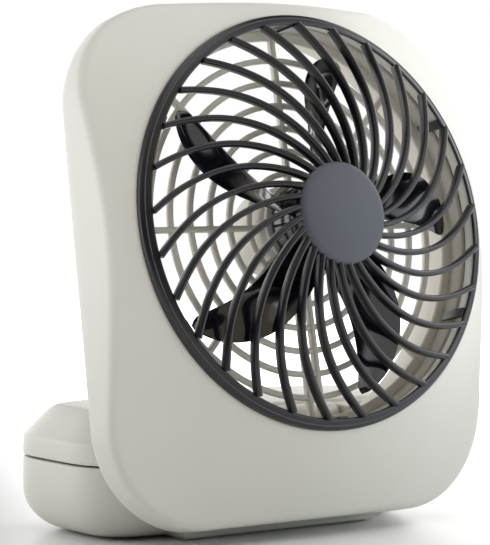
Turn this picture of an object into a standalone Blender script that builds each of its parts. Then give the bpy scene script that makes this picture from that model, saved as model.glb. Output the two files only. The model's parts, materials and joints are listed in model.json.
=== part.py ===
"""Folding battery desk fan: a tilting square fan head on a battery base.

Metres, +Z up, the front of the fan faces -Y. The origin is on the surface that the fan stands on,
under the middle of its bounding box. Run with: blender --background --python part.py
"""

import math

import bmesh
import bpy
from mathutils import Matrix, Vector

MM = 0.001

# ---------------------------------------------------------------- driving dimensions
# Overall head, seen along the fan axis. Heights are measured from the fan axis.
HEAD_HALF_WIDTH = 76.2 * MM
HEAD_TOP = 74.6 * MM
HEAD_BOTTOM = -95.2 * MM
HEAD_CORNER = 35.0 * MM
HEAD_DEPTH = 25.8 * MM
HEAD_TAPER = 0.045
HEAD_WALL = 2.2 * MM

# The front face slopes back outside this radius: first slope, then how fast it flattens.
FACE_FLAT_RADIUS = 69.0 * MM
FACE_SLOPE = 0.82
FACE_CURVE = 8.5

OPENING_RADIUS = 66.0 * MM

# Front grille
RING_OUTER = 68.5 * MM
RING_SIDE = 2.1 * MM
RING_HEIGHT = 3.85 * MM
RING_INNER = 64.8 * MM
SKIRT_DEPTH = 1.0 * MM
RIB_COUNT = 29
RIB_WIDTH = 1.9 * MM
RIB_DEPTH = 3.2 * MM
RIB_HUB_HEIGHT = 14.4 * MM
RIB_RING_HEIGHT = 4.0 * MM
RIB_DOME_POWER = 1.2
RIB_TWIST = (0.636, 0.352, -0.737, 0.476)
RIB_START_RADIUS = 14.0 * MM
HUB_PLATE_RADIUS = 16.4 * MM
HUB_PLATE_FRONT = 14.4 * MM
HUB_PLATE_THICKNESS = 2.0 * MM
HUB_CAP_RADIUS = 16.8 * MM
HUB_CAP_THICKNESS = 2.3 * MM
HUB_CAP_EDGE = 0.7 * MM
TAB_COUNT = 6
TAB_WIDTH = 6.0 * MM
TAB_DEPTH = 7.5 * MM

# Rear grille and motor cup
REAR_PLATE = 2.0 * MM
DUCT_WALL = 1.8 * MM
DUCT_FRONT = 4.4 * MM
GRILLE_DEPTH = 10.4 * MM
GRILLE_BAR_DEPTH = 2.0 * MM
GRILLE_BAR_WIDTH = 2.0 * MM
GRILLE_RING_OUTER = 63.9 * MM
GRILLE_RING_STEP = 7.64 * MM
GRILLE_RING_SIDES = (44, 40, 36, 32, 28, 24)
SPOKE_COUNT = 8
WIRE_CHANNEL = 4.4 * MM
SEAT_WIDTH = 1.2 * MM
CUP_RADIUS = 14.6 * MM
CUP_WALL = 1.7 * MM
CUP_FRONT = 8.0 * MM
CUP_BACK = 27.4 * MM

# Motor and impeller
MOTOR_RADIUS = 12.2 * MM
MOTOR_CAN_FRONT = 8.6 * MM
MOTOR_CAN_LENGTH = 12.6 * MM
END_BELL_THICKNESS = 1.6 * MM
BEARING_RADIUS = 3.0 * MM
BEARING_LENGTH = 2.0 * MM
SHAFT_RADIUS = 1.0 * MM
SHAFT_FRONT = 7.5 * MM
RETAINER_THICKNESS = 1.4 * MM
TERMINAL_LENGTH = 1.8 * MM
BLADE_COUNT = 5
BLADE_TIP = 58.7 * MM
BLADE_THICKNESS = 1.4 * MM
# A blade's two long edges from hub to tip, as powers of the share of the way out:
# the turn about the axis in radians, and the height in front of the ring plane.
LEADING_TURN = (-0.345, 0.800, -1.139, 0.970)
LEADING_HEIGHT = (9.1 * MM, 6.8 * MM, -18.6 * MM)
TRAILING_TURN = (0.368, -0.460, 0.891, -0.385)
TRAILING_HEIGHT = (-4.4 * MM, 12.8 * MM, -12.6 * MM)
BLADE_CAMBER = 1.2 * MM
ROTOR_HUB_RADIUS = 13.4 * MM
ROTOR_HUB_BACK = 5.0 * MM
ROTOR_HUB_FRONT = 9.8 * MM

# Base
BASE_HALF_WIDTH = 70.0 * MM
BASE_HALF_DEPTH = 33.0 * MM
BASE_ROUNDNESS = 4.5
BASE_WALL = 2.2 * MM
BASE_SPLIT = 25.0 * MM
COVER_SHOULDER = 32.7 * MM
BASE_TOP = 42.0 * MM
COVER_INSET = 9.2 * MM
BASE_FILLET = 14.0 * MM
TONGUE_HALF_WIDTH = 39.5 * MM
TONGUE_BACK = -20.0 * MM

# Head hinge: how far the axis is behind and below the fan axis, and where it is on the base
HINGE_BEHIND = 35.1 * MM
HINGE_BELOW = 61.2 * MM
HINGE_BACK_OF_FRONT = 5.0 * MM
HINGE_HEIGHT = 36.2 * MM
HINGE_BARREL = 5.0 * MM
HINGE_ROD = 2.2 * MM
EAR_INNER = 25.8 * MM
EAR_WIDTH = 7.0 * MM
WASHER_THICKNESS = 0.6 * MM
REST_TILT = math.radians(11.64)

# Battery cover screws, driven up from under the base
COVER_SCREW_X = 22.0 * MM
COVER_SCREW_Y = -17.0 * MM
COVER_SCREW_SHANK = 1.0 * MM
COVER_SCREW_HEAD = 2.0 * MM
COVER_SCREW_TOP = 33.0 * MM
COVER_SCREW_SEAT = 14.0 * MM
SHELL_POST_RADIUS = 3.2 * MM
COVER_POST_RADIUS = 2.6 * MM

# Batteries and contacts
CELL_RADIUS = 16.8 * MM
CELL_LENGTH = 60.0 * MM
CELL_NUB = 1.5 * MM
CELL_Y = 3.6 * MM
CELL_LIFT = 1.2 * MM
CRADLE_X = (15.0 * MM, 46.0 * MM)
CRADLE_WIDTH = 1.6 * MM
CONTACT_SIZE = 15.0 * MM
CONTACT_THICKNESS = 0.6 * MM
SPRING_WIRE = 0.45 * MM
SPRING_TURNS = 3

# Switch, jack, feet and screws
SWITCH_X = 38.0 * MM
SWITCH_BODY = (20.0 * MM, 6.6 * MM, 9.0 * MM)
SWITCH_KNOB = (6.0 * MM, 4.0 * MM, 4.0 * MM)
SWITCH_TRAVEL = 6.0 * MM
CONTROL_HEIGHT = 14.0 * MM
JACK_X = -38.0 * MM
JACK_BODY = (9.0 * MM, 9.0 * MM, 10.0 * MM)
JACK_BORE = 2.8 * MM
JACK_PIN = 0.9 * MM
FOOT_RADIUS = 5.0 * MM
FOOT_PROUD = 0.4 * MM
FOOT_RECESS = 0.9 * MM
FOOT_X = 46.0 * MM
FOOT_Y = 12.0 * MM
SCREW_SHANK = 1.3 * MM
SCREW_HEAD = 2.8 * MM
SCREW_HEAD_HEIGHT = 1.3 * MM
BOSS_RADIUS = 3.5 * MM
SCREW_PLACES = (
    (-56.0 * MM, 54.0 * MM),
    (56.0 * MM, 54.0 * MM),
    (-50.0 * MM, -72.0 * MM),
    (50.0 * MM, -72.0 * MM),
)

GAP = 0.3 * MM
ROUND = 64

# Where the middle of the base is, so that the origin is under the middle of the whole object
BASE_Y = 17.9625 * MM


# ---------------------------------------------------------------- scene and helpers
def clear_scene():
    for obj in list(bpy.data.objects):
        bpy.data.objects.remove(obj, do_unlink=True)


def make_material(name, colour, roughness, metallic=0.0):
    material = bpy.data.materials.new(name)
    material.use_nodes = True
    shader = material.node_tree.nodes["Principled BSDF"]
    shader.inputs["Base Color"].default_value = (*colour, 1.0)
    shader.inputs["Roughness"].default_value = roughness
    shader.inputs["Metallic"].default_value = metallic
    return material


def make_materials():
    return {
        "housing": make_material("housing_plastic", (0.70, 0.68, 0.62), 0.45),
        "graphite": make_material("graphite_plastic", (0.09, 0.09, 0.11), 0.40),
        "impeller": make_material("impeller_plastic", (0.02, 0.02, 0.03), 0.15),
        "steel": make_material("steel", (0.60, 0.60, 0.60), 0.30, 1.0),
        "brass": make_material("brass", (0.75, 0.60, 0.30), 0.35, 1.0),
        "black": make_material("black_plastic", (0.03, 0.03, 0.03), 0.50),
        "rubber": make_material("rubber", (0.05, 0.05, 0.05), 0.90),
        "cell": make_material("cell_wrap", (0.10, 0.12, 0.16), 0.35),
        "red": make_material("red_insulation", (0.60, 0.05, 0.04), 0.50),
    }


def link(obj, collection_name):
    collection = bpy.data.collections.get(collection_name)
    if collection is None:
        collection = bpy.data.collections.new(collection_name)
        bpy.context.scene.collection.children.link(collection)
    collection.objects.link(obj)


def mesh_object(name, bm):
    """A loose helper object from a bmesh, with its faces turned outwards."""
    bmesh.ops.recalc_face_normals(bm, faces=bm.faces)
    mesh = bpy.data.meshes.new(name)
    bm.to_mesh(mesh)
    bm.free()
    obj = bpy.data.objects.new(name, mesh)
    link(obj, "helpers")
    return obj


def box(low, high):
    bm = bmesh.new()
    bmesh.ops.create_cube(bm, size=1.0)
    size = [b - a for a, b in zip(low, high)]
    middle = [(a + b) / 2 for a, b in zip(low, high)]
    bmesh.ops.scale(bm, vec=size, verts=bm.verts)
    bmesh.ops.translate(bm, vec=middle, verts=bm.verts)
    return mesh_object("box", bm)


def cylinder(start, end, radius, segments=24):
    start = Vector(start)
    along = Vector(end) - start
    bm = bmesh.new()
    bmesh.ops.create_cone(
        bm, cap_ends=True, segments=segments, radius1=radius, radius2=radius, depth=along.length
    )
    turn = along.to_track_quat("Z", "Y").to_matrix().to_4x4()
    bmesh.ops.transform(bm, matrix=Matrix.Translation(start + along / 2) @ turn, verts=bm.verts)
    return mesh_object("cylinder", bm)


def turned(profile, segments=ROUND):
    """A closed profile of (radius, y) turned about the Y axis."""
    bm = bmesh.new()
    verts = [bm.verts.new((radius, y, 0.0)) for radius, y in profile]
    for a, b in zip(verts, verts[1:] + verts[:1]):
        if max(a.co.x, b.co.x) > 0.0:
            bm.edges.new((a, b))
    bmesh.ops.spin(
        bm,
        geom=list(bm.verts) + list(bm.edges),
        cent=(0, 0, 0),
        axis=(0, 1, 0),
        angle=2 * math.pi,
        steps=segments,
        use_merge=True,
    )
    bmesh.ops.remove_doubles(bm, verts=bm.verts, dist=1e-6)
    return mesh_object("turned", bm)


def prism(outline, start, end):
    """A closed outline of (y, z) pulled along X from start to end."""
    bm = bmesh.new()
    face = bm.faces.new([bm.verts.new((start, y, z)) for y, z in outline])
    pulled = bmesh.ops.extrude_face_region(bm, geom=[face])
    moved = [item for item in pulled["geom"] if isinstance(item, bmesh.types.BMVert)]
    bmesh.ops.translate(bm, vec=(end - start, 0, 0), verts=moved)
    return mesh_object("prism", bm)


def loft(rows, capped):
    """Rows of equally many points joined in order. The last row joins the first unless it is capped."""
    bm = bmesh.new()
    grid = [[bm.verts.new(point) for point in row] for row in rows]
    count = len(grid[0])
    pairs = list(zip(grid, grid[1:]))
    if not capped:
        pairs.append((grid[-1], grid[0]))
    for lower, upper in pairs:
        for i in range(count):
            j = (i + 1) % count
            bm.faces.new((lower[i], lower[j], upper[j], upper[i]))
    if capped:
        bm.faces.new(grid[0])
        bm.faces.new(grid[-1])
    return mesh_object("loft", bm)


def joined(parts):
    """Separate closed shapes as one helper object."""
    bm = bmesh.new()
    for part in parts:
        part.data.transform(part.matrix_basis)
        bm.from_mesh(part.data)
        bpy.data.objects.remove(part, do_unlink=True)
    return mesh_object("joined", bm)


def combined(target, steps, solver="EXACT"):
    """The target after a chain of Booleans, each step an operation and a helper object."""
    for operation, other in steps:
        modifier = target.modifiers.new(operation.lower(), "BOOLEAN")
        modifier.operation = operation
        modifier.solver = solver
        modifier.object = other
        bpy.context.view_layer.update()
        graph = bpy.context.evaluated_depsgraph_get()
        mesh = bpy.data.meshes.new_from_object(target.evaluated_get(graph))
        target.modifiers.clear()
        target.data = mesh
        bpy.data.objects.remove(other, do_unlink=True)
    return target


def finish(obj, name, material, parent=None, location=(0, 0, 0), sharp=35):
    """Names a helper object as a sub-part and puts it under its parent empty."""
    obj.name = name
    obj.data.name = name
    obj.data.materials.clear()
    obj.data.materials.append(material)
    obj.data.shade_smooth()
    obj.data.set_sharp_from_angle(angle=math.radians(sharp))
    bpy.data.collections["helpers"].objects.unlink(obj)
    link(obj, "folding_desk_fan")
    obj.parent = parent
    obj.location = location
    return obj


def empty(name, location, parent=None, rotation=(0, 0, 0)):
    obj = bpy.data.objects.new(name, None)
    link(obj, "folding_desk_fan")
    obj.parent = parent
    obj.location = location
    obj.rotation_euler = rotation
    return obj


def wire(name, points, radius, material, parent):
    """A lead as a round curve through its points, with filled ends."""
    curve = bpy.data.curves.new(name, "CURVE")
    curve.dimensions = "3D"
    curve.bevel_depth = radius
    curve.bevel_resolution = 1
    curve.use_fill_caps = True
    spline = curve.splines.new("POLY")
    spline.points.add(len(points) - 1)
    for target, point in zip(spline.points, points):
        target.co = (*point, 1.0)
    curve.materials.append(material)
    obj = bpy.data.objects.new(name, curve)
    link(obj, "folding_desk_fan")
    obj.parent = parent
    return obj


def smooth_route(points, steps=4):
    """Points along a Catmull-Rom curve through the given ones."""
    ends = [2 * Vector(points[0]) - Vector(points[1])]
    ends += [Vector(point) for point in points]
    ends += [2 * Vector(points[-1]) - Vector(points[-2])]
    route = []
    for a, b, c, d in zip(ends, ends[1:], ends[2:], ends[3:]):
        for step in range(steps):
            t = step / steps
            squared = (2 * a - 5 * b + 4 * c - d) * t**2
            cubed = (3 * b - a - 3 * c + d) * t**3
            route.append(0.5 * (2 * b + (c - a) * t + squared + cubed))
    route.append(ends[-2])
    return route


# ---------------------------------------------------------------- shared shapes
def face_drop(radius):
    """How far the front face is behind the ring plane at this distance from the fan axis."""
    outside = max(radius - FACE_FLAT_RADIUS, 0.0)
    return FACE_SLOPE * outside - FACE_CURVE * outside**2


def rear_depth(z):
    """How far the rear plane is behind the ring plane at this height: the head is thicker at the bottom."""
    return HEAD_DEPTH - HEAD_TAPER * z


def outline_distance(x, z, inset):
    """Signed distance from the head's rounded-square outline moved in by inset."""
    middle = (HEAD_TOP + HEAD_BOTTOM) / 2
    half = (HEAD_TOP - HEAD_BOTTOM) / 2
    across = abs(x) - (HEAD_HALF_WIDTH - HEAD_CORNER)
    up = abs(z - middle) - (half - HEAD_CORNER)
    outside = math.hypot(max(across, 0.0), max(up, 0.0))
    return outside + min(max(across, up), 0.0) - HEAD_CORNER + inset


def outline_radius(angle, inset=0.0):
    """Distance from the fan axis to the head's outline in one direction."""
    low = 0.0
    high = 2 * HEAD_HALF_WIDTH
    for _ in range(40):
        middle = (low + high) / 2
        if outline_distance(middle * math.sin(angle), middle * math.cos(angle), inset) > 0:
            high = middle
        else:
            low = middle
    return low


def around(section):
    """Loft rows from section(angle), which lists (radius, depth behind the ring plane)."""
    angles = [2 * math.pi * i / ROUND for i in range(ROUND)]
    columns = [section(angle) for angle in angles]
    rows = []
    for k in range(len(columns[0])):
        rows.append(
            [
                (column[k][0] * math.sin(angle), column[k][1], column[k][0] * math.cos(angle))
                for angle, column in zip(angles, columns)
            ]
        )
    return rows


def about_axis(obj, angle):
    """Turns a helper object about the fan axis."""
    obj.data.transform(Matrix.Rotation(angle, 4, "Y"))
    return obj


def base_outline(inset, z, count=52):
    """The base's outline, a superellipse, moved in by inset at one height."""
    points = []
    for i in range(count):
        angle = 2 * math.pi * i / count
        cosine = math.cos(angle)
        sine = math.sin(angle)
        share = (abs(cosine) ** BASE_ROUNDNESS + abs(sine) ** BASE_ROUNDNESS) ** (-1 / BASE_ROUNDNESS)
        points.append(
            (
                (BASE_HALF_WIDTH - inset) * share * cosine,
                (BASE_HALF_DEPTH - inset) * share * sine,
                z,
            )
        )
    return points


def wall_y(x):
    """Where the base's rear wall is at this x."""
    share = min(abs(x) / BASE_HALF_WIDTH, 1.0)
    return BASE_HALF_DEPTH * (1 - share**BASE_ROUNDNESS) ** (1 / BASE_ROUNDNESS)


# ---------------------------------------------------------------- head
def boss_start(x, z):
    """Where a screw boss starts, inside the thickness of the face."""
    return face_drop(math.hypot(x, z) + BOSS_RADIUS) + 0.5 * HEAD_WALL


def make_front_housing(materials, fan):
    def section(angle):
        edge = outline_radius(angle)
        inner = outline_radius(angle, HEAD_WALL)
        reach = edge - FACE_FLAT_RADIUS
        inner_reach = inner - FACE_FLAT_RADIUS
        rows = [(OPENING_RADIUS, HEAD_WALL), (OPENING_RADIUS, 0.0), (FACE_FLAT_RADIUS, 0.0)]
        for share in (0.33, 0.66, 0.9):
            radius = FACE_FLAT_RADIUS + reach * share
            rows.append((radius, face_drop(radius)))
        rows.append((edge - 0.3 * MM, face_drop(edge) + 0.2 * MM))
        rows.append((edge, face_drop(edge) + 1.2 * MM))
        rows.append((edge, rear_depth(edge * math.cos(angle))))
        rows.append((inner, rear_depth(inner * math.cos(angle))))
        rows.append((inner, face_drop(inner) + 1.5 * HEAD_WALL))
        for share in (0.66, 0.33):
            radius = FACE_FLAT_RADIUS + inner_reach * share
            rows.append((radius, face_drop(radius) + 1.25 * HEAD_WALL))
        return rows

    shell = loft(around(section), capped=False)
    steps = []
    posts = []
    holes = []
    for x, z in SCREW_PLACES:
        start = boss_start(x, z)
        plate_front = rear_depth(z) - REAR_PLATE
        posts.append(cylinder((x, start, z), (x, plate_front - 2 * GAP, z), BOSS_RADIUS, 16))
        hole_start = (x, start + HEAD_WALL, z)
        holes.append(cylinder(hole_start, (x, plate_front + REAR_PLATE, z), SCREW_SHANK + GAP, 12))
    steps.append(("UNION", joined(posts)))
    steps.append(("DIFFERENCE", joined(holes)))
    return finish(combined(shell, steps), "front_housing", materials["housing"], fan)


def rib_height(radius):
    """Height of a rib's middle in front of the ring plane."""
    share = (radius - HUB_CAP_RADIUS) / (RING_INNER - HUB_CAP_RADIUS)
    share = max(share, 0.0)
    return RIB_RING_HEIGHT + (RIB_HUB_HEIGHT - RIB_RING_HEIGHT) * (1 - share**RIB_DOME_POWER)


def rib_turn(radius):
    """How far a rib has turned about the fan axis, counted from its end at the ring."""
    share = (radius - HUB_CAP_RADIUS) / (RING_INNER - HUB_CAP_RADIUS)
    return sum(turn * (1 - share) ** (power + 1) for power, turn in enumerate(RIB_TWIST))


def make_rib(start_angle, steps=8):
    rows = []
    radii = [
        RIB_START_RADIUS + (RING_INNER + 0.4 * MM - RIB_START_RADIUS) * i / steps for i in range(steps + 1)
    ]
    middles = []
    for radius in radii:
        angle = start_angle + rib_turn(radius)
        middles.append(Vector((radius * math.sin(angle), -rib_height(radius), radius * math.cos(angle))))
    for i, middle in enumerate(middles):
        ahead = middles[min(i + 1, steps)] - middles[max(i - 1, 0)]
        side = ahead.cross(Vector((0, 1, 0))).normalized() * RIB_WIDTH / 2
        deep = Vector((0, RIB_DEPTH / 2, 0))
        rows.append([middle - side - deep, middle + side - deep, middle + side + deep, middle - side + deep])
    return loft(rows, capped=True)


def make_front_grille(materials, fan):
    skirt_outer = OPENING_RADIUS - 0.5 * MM
    skirt_inner = skirt_outer - 1.5 * MM
    ring = turned(
        [
            (RING_OUTER, -GAP),
            (RING_OUTER, -RING_SIDE),
            (RING_OUTER - 0.3 * MM, -RING_SIDE - 0.3 * MM),
            (RING_INNER + 0.4 * MM, -RING_HEIGHT),
            (RING_INNER, -RING_HEIGHT + 0.3 * MM),
            (skirt_inner, SKIRT_DEPTH),
            (skirt_outer, SKIRT_DEPTH),
            (skirt_outer, -GAP),
        ],
        RIB_COUNT * 2,
    )
    ribs = joined([make_rib(2 * math.pi * i / RIB_COUNT) for i in range(RIB_COUNT)])
    plate_back = -HUB_PLATE_FRONT + HUB_PLATE_THICKNESS
    plate = turned(
        [
            (0.0, -HUB_PLATE_FRONT - 0.2 * MM),
            (HUB_PLATE_RADIUS, -HUB_PLATE_FRONT - 0.2 * MM),
            (HUB_PLATE_RADIUS, plate_back),
            (0.0, plate_back),
        ],
        48,
    )
    cap_room = cylinder((0, -HUB_PLATE_FRONT, 0), (0, -2 * HUB_PLATE_FRONT, 0), HUB_CAP_RADIUS + GAP, 48)
    tabs = []
    for i in range(TAB_COUNT):
        tab = box(
            (-TAB_WIDTH / 2, SKIRT_DEPTH - 1.0 * MM, skirt_inner + 0.2 * MM),
            (TAB_WIDTH / 2, TAB_DEPTH, skirt_outer - 0.2 * MM),
        )
        tabs.append(about_axis(tab, 2 * math.pi * i / TAB_COUNT))
    steps = [("UNION", ribs), ("UNION", plate), ("UNION", joined(tabs)), ("DIFFERENCE", cap_room)]
    return finish(combined(ring, steps), "front_grille", materials["graphite"], fan)


def make_hub_cap(materials, fan):
    back = -HUB_PLATE_FRONT - GAP
    front = back - HUB_CAP_THICKNESS
    cap = turned(
        [
            (0.0, front - 0.2 * MM),
            (HUB_CAP_RADIUS * 0.6, front - 0.1 * MM),
            (HUB_CAP_RADIUS - HUB_CAP_EDGE, front),
            (HUB_CAP_RADIUS, front + HUB_CAP_EDGE),
            (HUB_CAP_RADIUS, back),
            (0.0, back),
        ],
        48,
    )
    return finish(cap, "hub_cap", materials["graphite"], fan)


def make_ear(side):
    """One hinge ear of the rear housing, standing back from the plate to the hinge axis."""
    top = -HINGE_BELOW + 2.5 * MM
    bottom = -HINGE_BELOW - 8.0 * MM
    sunk = REAR_PLATE - 0.5 * MM
    outline = [(rear_depth(top) - sunk, top)]
    for i in range(8):
        angle = math.radians(80 - 160 * i / 7)
        outline.append(
            (HINGE_BEHIND + HINGE_BARREL * math.cos(angle), -HINGE_BELOW + HINGE_BARREL * math.sin(angle))
        )
    outline.append((rear_depth(bottom) - sunk, bottom))
    if side > 0:
        return prism(outline, EAR_INNER, EAR_INNER + EAR_WIDTH)
    return prism(outline, -EAR_INNER - EAR_WIDTH, -EAR_INNER)


def make_rear_housing(materials, fan):
    def section(angle):
        edge = outline_radius(angle, HEAD_WALL + GAP)
        duct = OPENING_RADIUS + DUCT_WALL
        rise = math.cos(angle)
        return [
            (OPENING_RADIUS, DUCT_FRONT),
            (OPENING_RADIUS, rear_depth(OPENING_RADIUS * rise)),
            (edge, rear_depth(edge * rise)),
            (edge, rear_depth(edge * rise) - REAR_PLATE),
            (duct, rear_depth(duct * rise) - REAR_PLATE),
            (duct, DUCT_FRONT),
        ]

    frame = loft(around(section), capped=False)
    ring_back = GRILLE_DEPTH + GRILLE_BAR_DEPTH
    seat_back = GRILLE_DEPTH - GAP
    seat = turned(
        [
            (OPENING_RADIUS + DUCT_WALL / 3, seat_back - SEAT_WIDTH),
            (OPENING_RADIUS + DUCT_WALL / 3, seat_back),
            (OPENING_RADIUS - SEAT_WIDTH, seat_back),
            (OPENING_RADIUS - SEAT_WIDTH, seat_back - SEAT_WIDTH),
        ]
    )
    holes = []
    for x, z in SCREW_PLACES:
        holes.append(cylinder((x, 0.0, z), (x, 2 * HEAD_DEPTH, z), SCREW_SHANK + 1.3 * GAP, 12))
    for side in (-1, 1):
        x = side * EAR_INNER
        reach = side * (EAR_INNER + EAR_WIDTH)
        holes.append(
            cylinder(
                (x - side * 1.0 * MM, HINGE_BEHIND, -HINGE_BELOW),
                (reach + side * 1.0 * MM, HINGE_BEHIND, -HINGE_BELOW),
                HINGE_ROD + GAP,
                20,
            )
        )
    slot_half = wire_slot_half()
    duct_slot = box(
        (-slot_half, ring_back + 1.0 * MM, -OPENING_RADIUS - DUCT_WALL - 2.0 * MM),
        (slot_half, ring_back + 4.0 * MM, -OPENING_RADIUS + 2.0 * MM),
    )
    steps = [
        ("UNION", seat),
        ("UNION", joined([make_ear(-1), make_ear(1)])),
        ("DIFFERENCE", joined(holes)),
        ("DIFFERENCE", duct_slot),
    ]
    shape = combined(frame, steps, "MANIFOLD")
    return finish(shape, "rear_housing", materials["housing"], fan)


def wire_slot_half():
    """Half the width of the slots that the motor leads pass through."""
    return WIRE_CHANNEL / 2 - GRILLE_BAR_WIDTH / 2 - 0.1 * MM


def make_rear_grille(materials, fan):
    """Flat rings on spokes, with a middle ring that holds the motor cup and a rim that seats in the duct."""
    half = GRILLE_BAR_WIDTH / 2
    ring_back = GRILLE_DEPTH + GRILLE_BAR_DEPTH
    rings = []
    rim = OPENING_RADIUS - GAP
    rings.append(
        turned(
            [
                (rim, GRILLE_DEPTH),
                (rim, ring_back),
                (GRILLE_RING_OUTER - half, ring_back),
                (GRILLE_RING_OUTER - half, GRILLE_DEPTH),
            ]
        )
    )
    for k, sides in enumerate(GRILLE_RING_SIDES, 1):
        radius = GRILLE_RING_OUTER - k * GRILLE_RING_STEP
        profile = [
            (radius + half, GRILLE_DEPTH),
            (radius + half, ring_back),
            (radius - half, ring_back),
            (radius - half, GRILLE_DEPTH),
        ]
        rings.append(turned(profile, sides))
    spokes = []
    deeper = 0.3 * MM
    for i in range(SPOKE_COUNT):
        turn = 2 * math.pi * i / SPOKE_COUNT
        places = [0.0]
        if i == SPOKE_COUNT // 2:
            places = [-WIRE_CHANNEL / 2, WIRE_CHANNEL / 2]
        for x in places:
            bar = box(
                (x - half, GRILLE_DEPTH - deeper, CUP_RADIUS + GAP + GRILLE_BAR_WIDTH / 2),
                (x + half, ring_back + deeper, GRILLE_RING_OUTER),
            )
            spokes.append(about_axis(bar, turn))
    middle_ring = CUP_RADIUS + GAP
    rings.append(
        turned(
            [
                (middle_ring + GRILLE_BAR_WIDTH, GRILLE_DEPTH),
                (middle_ring + GRILLE_BAR_WIDTH, ring_back),
                (middle_ring, ring_back),
                (middle_ring, GRILLE_DEPTH),
            ]
        )
    )
    steps = [("UNION", joined(rings[1:])), ("UNION", joined(spokes))]
    return finish(combined(rings[0], steps, "MANIFOLD"), "rear_grille", materials["housing"], fan)


def make_motor_cup(materials, fan):
    cup = turned(
        [
            (CUP_RADIUS, CUP_FRONT),
            (CUP_RADIUS, CUP_BACK - 1.5 * MM),
            (CUP_RADIUS - 1.5 * MM, CUP_BACK),
            (0.0, CUP_BACK),
            (0.0, CUP_BACK - CUP_WALL),
            (CUP_RADIUS - CUP_WALL, CUP_BACK - CUP_WALL),
            (CUP_RADIUS - CUP_WALL, CUP_FRONT),
        ],
        48,
    )
    slot_half = wire_slot_half()
    slot = box(
        (-slot_half, CUP_BACK - 5.0 * MM, -CUP_RADIUS - 2.0 * MM),
        (slot_half, CUP_BACK - 2.2 * MM, -CUP_RADIUS + 2.0 * CUP_WALL),
    )
    return finish(combined(cup, [("DIFFERENCE", slot)]), "motor_cup", materials["housing"], fan)


def make_housing_screws(materials, fan):
    for number, (x, z) in enumerate(SCREW_PLACES, 1):
        tip = boss_start(x, z) + HEAD_WALL + GAP
        under_head = rear_depth(z) + HEAD_TAPER * SCREW_HEAD + GAP
        profile = [
            (0.0, tip),
            (SCREW_SHANK, tip),
            (SCREW_SHANK, under_head),
            (SCREW_HEAD, under_head),
            (SCREW_HEAD * 0.8, under_head + SCREW_HEAD_HEIGHT),
            (0.0, under_head + SCREW_HEAD_HEIGHT),
        ]
        finish(turned(profile, 12), f"housing_screw_{number}", materials["steel"], fan, (x, 0, z))


# ---------------------------------------------------------------- motor and impeller
def make_motor(materials, fan):
    can_back = MOTOR_CAN_FRONT + MOTOR_CAN_LENGTH
    can = turned(
        [
            (BEARING_RADIUS + GAP, MOTOR_CAN_FRONT),
            (MOTOR_RADIUS - 0.6 * MM, MOTOR_CAN_FRONT),
            (MOTOR_RADIUS, MOTOR_CAN_FRONT + 0.6 * MM),
            (MOTOR_RADIUS, can_back),
            (BEARING_RADIUS + GAP, can_back),
        ],
        48,
    )
    finish(can, "motor_can", materials["steel"], fan)
    bell_front = can_back + GAP
    bell = turned(
        [
            (0.0, bell_front),
            (MOTOR_RADIUS - 0.4 * MM, bell_front),
            (MOTOR_RADIUS - 0.4 * MM, bell_front + END_BELL_THICKNESS),
            (0.0, bell_front + END_BELL_THICKNESS),
        ],
        32,
    )
    finish(bell, "motor_end_bell", materials["black"], fan)
    bearing_front = MOTOR_CAN_FRONT - BEARING_LENGTH / 2
    bush = turned(
        [
            (SHAFT_RADIUS + 0.05 * MM, bearing_front),
            (BEARING_RADIUS, bearing_front),
            (BEARING_RADIUS, bearing_front + 2 * BEARING_LENGTH),
            (SHAFT_RADIUS + 0.05 * MM, bearing_front + 2 * BEARING_LENGTH),
        ],
        24,
    )
    finish(bush, "motor_bearing", materials["brass"], fan)
    shaft = cylinder((0, -SHAFT_FRONT, 0), (0, can_back - GAP, 0), SHAFT_RADIUS, 24)
    finish(shaft, "motor_shaft", materials["steel"], fan)
    terminal_front = bell_front + END_BELL_THICKNESS + GAP
    for side, name in ((-1, "motor_terminal_left"), (1, "motor_terminal_right")):
        x = side * 6.0 * MM
        blade = box(
            (x - 0.3 * MM, terminal_front, -3.0 * MM),
            (x + 0.3 * MM, terminal_front + TERMINAL_LENGTH, -0.5 * MM),
        )
        finish(blade, name, materials["brass"], fan)


def make_motor_retainer(materials, fan):
    back = CUP_FRONT - GAP
    front = back - RETAINER_THICKNESS
    inner = BEARING_RADIUS + 1.0 * MM
    ring = turned([(inner, front), (CUP_RADIUS, front), (CUP_RADIUS, back), (inner, back)], 48)
    return finish(ring, "motor_retainer", materials["housing"], fan)


def powers(factors, share):
    return sum(factor * share**power for power, factor in enumerate(factors))


def make_blade(start_angle):
    """One sickle-shaped blade: rows between its two long edges from hub to tip, then given its thickness."""
    bm = bmesh.new()
    rows = []
    stations = 8
    across = 4
    root = ROTOR_HUB_RADIUS - 1.2 * MM
    for i in range(stations + 1):
        share = i / stations
        radius = root + (BLADE_TIP - root) * share
        row = []
        for j in range(across + 1):
            part = j / across
            turn = (1 - part) * powers(TRAILING_TURN, share) + part * powers(LEADING_TURN, share)
            height = (1 - part) * powers(TRAILING_HEIGHT, share) + part * powers(LEADING_HEIGHT, share)
            height -= 4 * BLADE_CAMBER * part * (1 - part)
            angle = start_angle + turn
            row.append(bm.verts.new((radius * math.sin(angle), -height, radius * math.cos(angle))))
        rows.append(row)
    for lower, upper in zip(rows, rows[1:]):
        for j in range(across):
            bm.faces.new((lower[j], lower[j + 1], upper[j + 1], upper[j]))
    bmesh.ops.recalc_face_normals(bm, faces=bm.faces)
    bmesh.ops.solidify(bm, geom=list(bm.faces), thickness=BLADE_THICKNESS)
    return mesh_object("blade", bm)


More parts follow.
